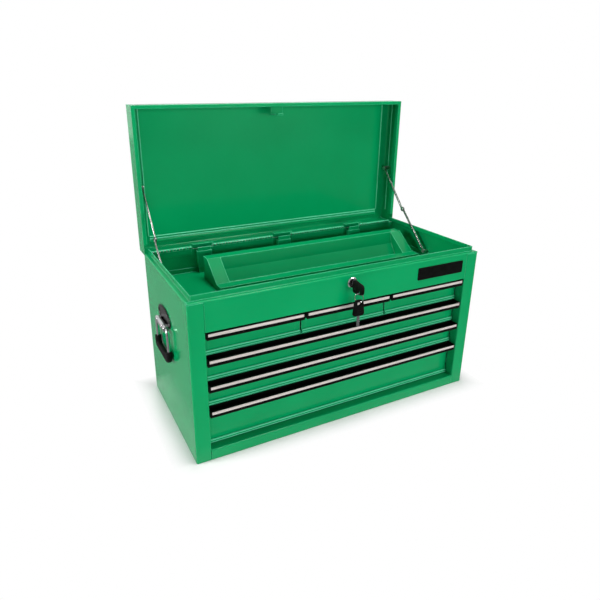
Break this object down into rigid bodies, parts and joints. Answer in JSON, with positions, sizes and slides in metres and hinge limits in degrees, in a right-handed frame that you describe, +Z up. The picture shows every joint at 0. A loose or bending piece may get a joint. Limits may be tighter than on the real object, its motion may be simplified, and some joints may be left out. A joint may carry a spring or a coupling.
{
  "type": "tabletop tool chest",
  "caption": "Steel tabletop tool chest with a hinged lid on folding stays, a top compartment with a lift-out tote tray, sliding drawers with full-width pulls, a lock and side bail handles.",
  "frame": {"origin": "centre of the underside of the case, on the surface it stands on", "axes": "+X to the chest's right along its width, as seen from the front; +Y from the front to the back; +Z up"},
  "size_m": [0.6878, 0.3912, 0.6313],
  "materials": {
    "green_paint": "smooth semi-gloss powder coat",
    "zinc_steel": "zinc plated",
    "dark_steel": "dark plating",
    "chrome": "bright plated",
    "black_plastic": "moulded satin black",
    "grip_rubber": "soft matt black",
    "bright_strip": "brushed along its length"
  },
  "bodies": {
    "case": {"case_shell": "green_paint", "fascia": "green_paint", "bottom_rail": "green_paint", "case_base": "green_paint", "compartment_floor": "green_paint", "slide_supports": "zinc_steel", "slide_rails": "zinc_steel", "bar_guides": "green_paint", "hinge_leaf_case": "green_paint", "hinge_pin": "zinc_steel", "lock_housing": "chrome", "lock_nut": "zinc_steel", "stay_studs_case": "zinc_steel", "name_plate": "black_plastic", "handle_plates": "dark_steel"},
    "lid": {"lid_shell": "green_paint", "hinge_leaf_lid": "green_paint", "lid_strike": "green_paint", "stay_studs_lid": "zinc_steel"},
    "upper_stay_left": {"stay_upper_left": "dark_steel"},
    "upper_stay_right": {"stay_upper_right": "dark_steel"},
    "lower_stay_left": {"stay_lower_left": "dark_steel"},
    "lower_stay_right": {"stay_lower_right": "dark_steel"},
    "drawer_locks": {"lock_bars": "green_paint"},
    "lock": {"lock_cylinder": "chrome", "lock_cam": "chrome"},
    "key_in_lock": {"key": "chrome", "key_bow": "black_plastic"},
    "ring": {"key_ring": "chrome"},
    "spare": {"spare_key": "chrome", "spare_bow": "black_plastic"},
    "tray": {"tote_tray": "green_paint"},
    "handle_left": {"bail_left": "chrome", "grip_left": "grip_rubber"},
    "handle_right": {"bail_right": "chrome", "grip_right": "grip_rubber"},
    "top_drawer_left": {"drawer_1": "green_paint", "pull_1": "black_plastic", "trim_1": "bright_strip", "runners_1": "zinc_steel"},
    "top_drawer_middle": {"drawer_2": "green_paint", "pull_2": "black_plastic", "trim_2": "bright_strip", "runners_2": "zinc_steel"},
    "top_drawer_right": {"drawer_3": "green_paint", "pull_3": "black_plastic", "trim_3": "bright_strip", "runners_3": "zinc_steel"},
    "second_row_drawer": {"drawer_4": "green_paint", "pull_4": "black_plastic", "trim_4": "bright_strip", "runners_4": "zinc_steel"},
    "third_row_drawer": {"drawer_5": "green_paint", "pull_5": "black_plastic", "trim_5": "bright_strip", "runners_5": "zinc_steel"},
    "bottom_drawer": {"drawer_6": "green_paint", "pull_6": "black_plastic", "trim_6": "bright_strip", "runners_6": "zinc_steel"}
  },
  "joints": [
    {"name": "lid_hinge", "type": "hinge", "parent": "case", "child": "lid", "pos_m": [0, 0.1495, 0.32825], "axis": [1, 0, 0], "range_deg": [0, 90]},
    {"name": "stay_foot_left", "type": "hinge", "parent": "case", "child": "lower_stay_left", "pos_m": [-0.318, 0.005, 0.285], "axis": [1, 0, 0], "range_deg": [-33.5, 0]},
    {"name": "stay_head_left", "type": "hinge", "parent": "lid", "child": "upper_stay_left", "pos_m": [-0.3155, 0.18, 0.464], "axis": [1, 0, 0], "range_deg": [0, 18.7]},
    {"name": "stay_foot_right", "type": "hinge", "parent": "case", "child": "lower_stay_right", "pos_m": [0.318, 0.005, 0.285], "axis": [1, 0, 0], "range_deg": [-33.5, 0]},
    {"name": "stay_head_right", "type": "hinge", "parent": "lid", "child": "upper_stay_right", "pos_m": [0.3155, 0.18, 0.464], "axis": [1, 0, 0], "range_deg": [0, 18.7]},
    {"name": "drawer_lock_drop", "type": "slide", "parent": "case", "child": "drawer_locks", "axis": [0, 0, 1], "range_m": [-0.0081, 0]},
    {"name": "tray_lift", "type": "slide", "parent": "case", "child": "tray", "axis": [0, 0, -1], "range_m": [-0.12, 0]},
    {"name": "top_drawer_left_slide", "type": "slide", "parent": "case", "child": "top_drawer_left", "axis": [0, 1, 0], "range_m": [-0.21, 0]},
    {"name": "top_drawer_middle_slide", "type": "slide", "parent": "case", "child": "top_drawer_middle", "axis": [0, 1, 0], "range_m": [-0.21, 0]},
    {"name": "top_drawer_right_slide", "type": "slide", "parent": "case", "child": "top_drawer_right", "axis": [0, 1, 0], "range_m": [-0.21, 0]},
    {"name": "second_row_drawer_slide", "type": "slide", "parent": "case", "child": "second_row_drawer", "axis": [0, 1, 0], "range_m": [-0.21, 0]},
    {"name": "third_row_drawer_slide", "type": "slide", "parent": "case", "child": "third_row_drawer", "axis": [0, 1, 0], "range_m": [-0.21, 0]},
    {"name": "bottom_drawer_slide", "type": "slide", "parent": "case", "child": "bottom_drawer", "axis": [0, 1, 0], "range_m": [-0.21, 0]},
    {"name": "lock_turn", "type": "hinge", "parent": "case", "child": "lock", "pos_m": [0, -0.15, 0.3115], "axis": [0, -1, 0], "range_deg": [0, 90]},
    {"name": "key_pull", "type": "slide", "parent": "lock", "child": "key_in_lock", "axis": [0, 1, 0], "range_m": [-0.21, 0]},
    {"name": "ring_swing", "type": "hinge", "parent": "key_in_lock", "child": "ring", "pos_m": [0, -0.18, 0.299], "axis": [1, 0, 0], "range_deg": [-20, 20]},
    {"name": "spare_hang", "type": "hinge", "parent": "ring", "child": "spare", "pos_m": [0, -0.18, 0.277], "axis": [0, -1, 0], "range_deg": [-90, 0]},
    {"name": "handle_left_lift", "type": "hinge", "parent": "case", "child": "handle_left", "pos_m": [-0.3375, 0.008, 0.226], "axis": [0, 1, 0], "range_deg": [0, 95]},
    {"name": "handle_right_lift", "type": "hinge", "parent": "case", "child": "handle_right", "pos_m": [0.3375, 0.008, 0.226], "axis": [0, -1, 0], "range_deg": [0, 95]}
  ],
  "couplings": [
    {"joint": "stay_foot_left", "follows": "lid_hinge", "ratio": -0.37033},
    {"joint": "stay_head_left", "follows": "lid_hinge", "ratio": 0.20567},
    {"joint": "stay_foot_right", "follows": "lid_hinge", "ratio": -0.37033},
    {"joint": "stay_head_right", "follows": "lid_hinge", "ratio": 0.20567},
    {"joint": "drawer_lock_drop", "follows": "lid_hinge", "m_per_rad": -0.005093},
    {"joint": "key_pull", "follows": "top_drawer_middle_slide", "ratio": 1},
    {"joint": "spare_hang", "follows": "lock_turn", "ratio": -1}
  ]
}
